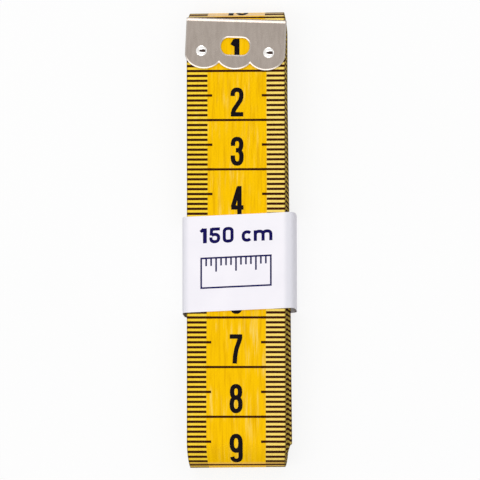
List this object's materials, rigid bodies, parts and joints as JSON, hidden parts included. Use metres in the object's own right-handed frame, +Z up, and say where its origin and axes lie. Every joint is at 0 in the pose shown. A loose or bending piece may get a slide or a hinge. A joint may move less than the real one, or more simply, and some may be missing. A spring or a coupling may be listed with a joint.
{
  "type": "cloth tape measure",
  "caption": "Flat-wound tailor's cloth tape measure with scalloped metal end clips, held in a long flat bundle by a paper band.",
  "frame": {"origin": "on the table, under the middle of the whole object", "axes": "+Y along the bundle, from the open folds at the near end to the free end with its clip; +X across the tape, to the right as its numerals are read; +Z up from the table"},
  "size_m": [0.0228, 0.0924, 0.0086],
  "materials": {
    "tape_cloth": "golden yellow coated cloth with a low gloss, printed in black",
    "clip_metal": "matt nickel-plated sheet with bright cut edges",
    "rivet_metal": "bright nickel plate",
    "band_paper": "smooth white paper"
  },
  "bodies": {
    "bundle": {"tape_coil": "tape_cloth", "inner_clip": "clip_metal", "inner_rivet_left": "rivet_metal", "inner_rivet_right": "rivet_metal"},
    "stretch_near_band": {"free_end_near_band": "tape_cloth"},
    "stretch_middle": {"free_end_middle": "tape_cloth"},
    "stretch_at_clip": {"free_end_at_clip": "tape_cloth", "start_clip": "clip_metal", "start_rivet_left": "rivet_metal", "start_rivet_right": "rivet_metal"},
    "band": {"paper_band": "band_paper"}
  },
  "joints": [
    {"name": "free_end_lift", "type": "hinge", "parent": "bundle", "child": "stretch_near_band", "pos_m": [-0.00045, 0.00541, 0.00753], "axis": [1, 0, 0], "range_deg": [0, 30]},
    {"name": "free_end_curl", "type": "hinge", "parent": "stretch_near_band", "child": "stretch_middle", "pos_m": [-0.00045, 0.01581, 0.00769], "axis": [1, 0, 0], "range_deg": [0, 30]},
    {"name": "free_end_tip_curl", "type": "hinge", "parent": "stretch_middle", "child": "stretch_at_clip", "pos_m": [-0.00045, 0.02621, 0.00785], "axis": [1, 0, 0], "range_deg": [0, 30]},
    {"name": "band_slide", "type": "slide", "parent": "bundle", "child": "band", "axis": [0, -1, 0], "range_m": [0, 0.054]}
  ],
  "couplings": [
    {"joint": "free_end_curl", "follows": "free_end_lift", "ratio": 1},
    {"joint": "free_end_tip_curl", "follows": "free_end_lift", "ratio": 1}
  ]
}
